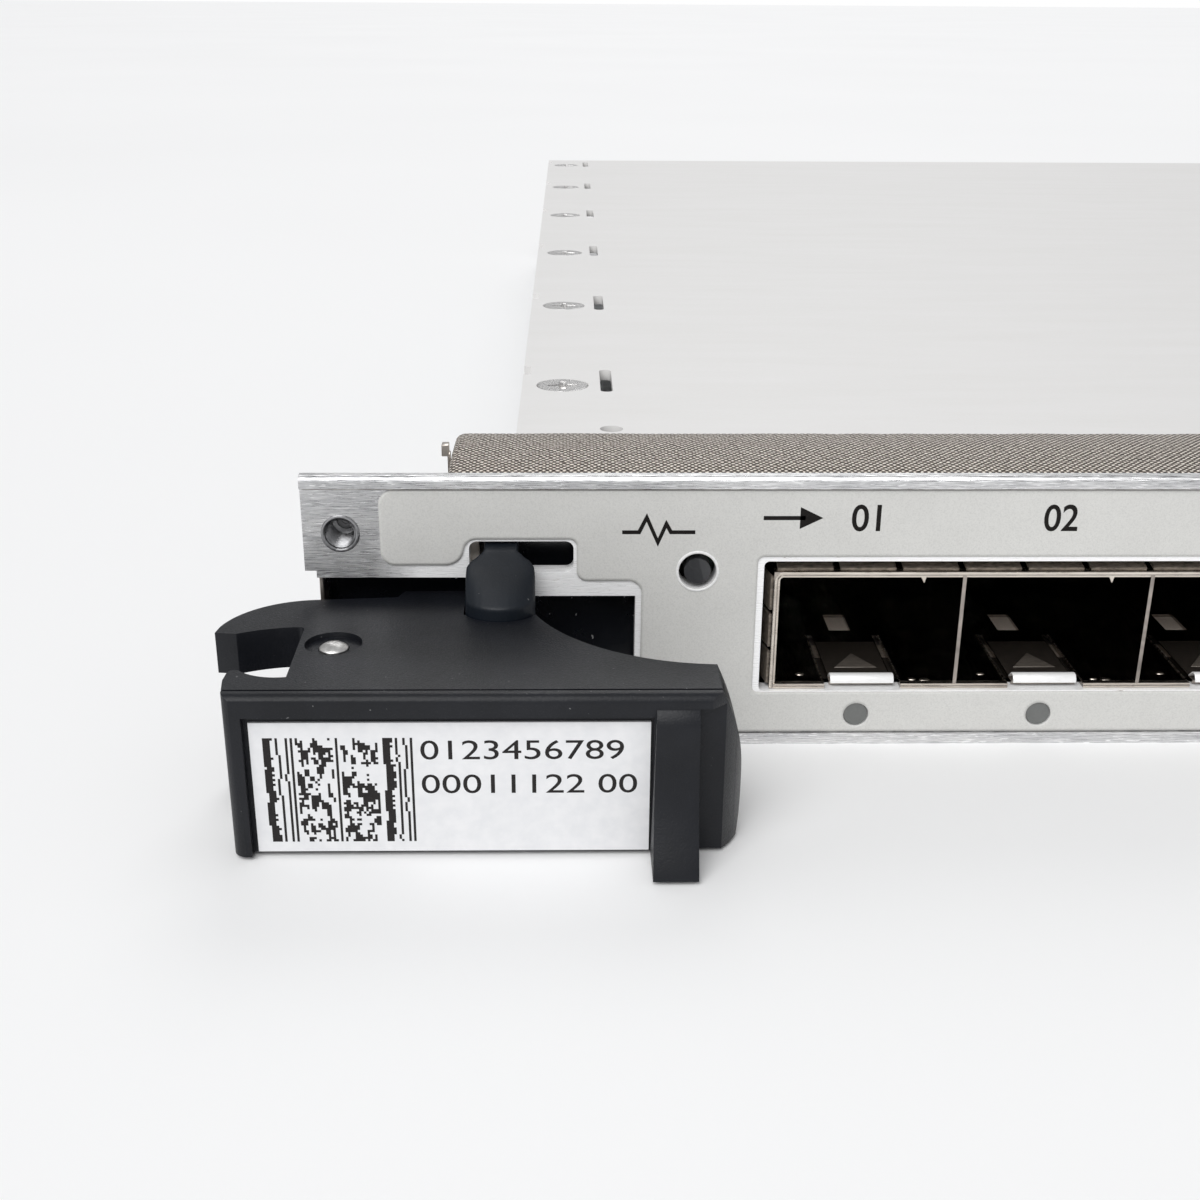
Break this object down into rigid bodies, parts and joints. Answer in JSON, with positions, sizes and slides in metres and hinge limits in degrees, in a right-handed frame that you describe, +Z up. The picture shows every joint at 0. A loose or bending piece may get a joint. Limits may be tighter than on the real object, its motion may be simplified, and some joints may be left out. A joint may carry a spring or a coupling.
{
  "type": "optical transceiver line card",
  "caption": "Flat plug-in line card with a slim front panel of pluggable optical ports, gasketed metal chassis and a latching ejector handle at each end.",
  "frame": {"origin": "centre of the bounding box in X and Y, on the surface the card lies on", "axes": "+Y from the front panel to the backplane connectors, +X to the right as the front panel is faced, +Z up through the cover"},
  "size_m": [0.201, 0.2502, 0.0219],
  "materials": {
    "bare_aluminium": "brushed, bare",
    "overlay_film": "fine matt printed film",
    "tinned_steel": "bright tinned sheet",
    "conductive_fabric": "metallised ripstop weave",
    "cover_paint": "off-white fine texture",
    "zinc_steel": "zinc plated sheet",
    "screw_steel": "nickel plated",
    "board": "solder mask over glass epoxy",
    "handle_plastic": "fine grained black moulding",
    "latch_plastic": "satin blue-black moulding",
    "label_film": "semi-gloss printed label",
    "black_coat": "gloss black coating",
    "pin_steel": "polished steel",
    "spring_steel": "spring wire",
    "lamp_lens": "smoked clear moulding",
    "led_resin": "clear resin",
    "connector_plastic": "glass filled black plastic",
    "chip_package": "moulded epoxy",
    "sink_aluminium": "clear anodised",
    "gap_pad": "soft silicone",
    "can_aluminium": "sleeved can"
  },
  "bodies": {
    "chassis": {"backplane_connector": "connector_plastic", "board_screws": "screw_steel", "board_standoffs": "screw_steel", "bracket_screws": "screw_steel", "bulk_capacitors": "can_aluminium", "cage_collar_left": "tinned_steel", "cage_collar_right": "tinned_steel", "chassis_tray": "zinc_steel", "cover_screws": "screw_steel", "emi_gasket": "conductive_fabric", "framer_processor": "chip_package", "front_panel": "bare_aluminium", "gasket_end_clips": "tinned_steel", "gasket_frame": "tinned_steel", "guide_sockets": "connector_plastic", "heat_sink": "sink_aluminium", "heat_sink_screws": "screw_steel", "indicator_leds": "led_resin", "left_handle_bracket": "black_coat", "left_hinge_pin": "pin_steel", "left_window_liner": "tinned_steel", "main_board": "board", "memory_chips": "chip_package", "panel_inserts": "screw_steel", "panel_overlay": "overlay_film", "port_light_pipes": "lamp_lens", "power_connector": "connector_plastic", "power_converter": "chip_package", "power_inductors": "chip_package", "right_handle_bracket": "black_coat", "right_hinge_pin": "pin_steel", "right_window_liner": "tinned_steel", "sfp_cage_left": "tinned_steel", "sfp_cage_right": "tinned_steel", "sfp_host_connectors": "connector_plastic", "status_light_pipe": "lamp_lens", "thermal_pad": "gap_pad", "timing_processor": "chip_package", "top_cover": "cover_paint"},
    "left_handle_body": {"left_handle": "handle_plastic", "left_handle_label": "label_film", "left_latch_spring": "spring_steel"},
    "right_handle_body": {"right_handle": "handle_plastic", "right_handle_label": "label_film", "right_latch_spring": "spring_steel"},
    "left_latch_body": {"left_latch": "latch_plastic"},
    "right_latch_body": {"right_latch": "latch_plastic"}
  },
  "joints": [
    {"name": "left_handle_swing", "type": "hinge", "parent": "chassis", "child": "left_handle_body", "pos_m": [-0.0918, -0.11325, 0.0062], "axis": [0, 0, -1], "range_deg": [0, 60]},
    {"name": "left_latch_press", "type": "slide", "parent": "left_handle_body", "child": "left_latch_body", "axis": [0, 0, -1], "range_m": [0, 0.00115], "stiffness_N_per_m": 400, "springref_m": -0.002, "deforming": ["left_latch_spring"]},
    {"name": "right_handle_swing", "type": "hinge", "parent": "chassis", "child": "right_handle_body", "pos_m": [0.0918, -0.11325, 0.0062], "axis": [0, 0, 1], "range_deg": [0, 60]},
    {"name": "right_latch_press", "type": "slide", "parent": "right_handle_body", "child": "right_latch_body", "axis": [0, 0, -1], "range_m": [0, 0.00115], "stiffness_N_per_m": 400, "springref_m": -0.002, "deforming": ["right_latch_spring"]}
  ]
}
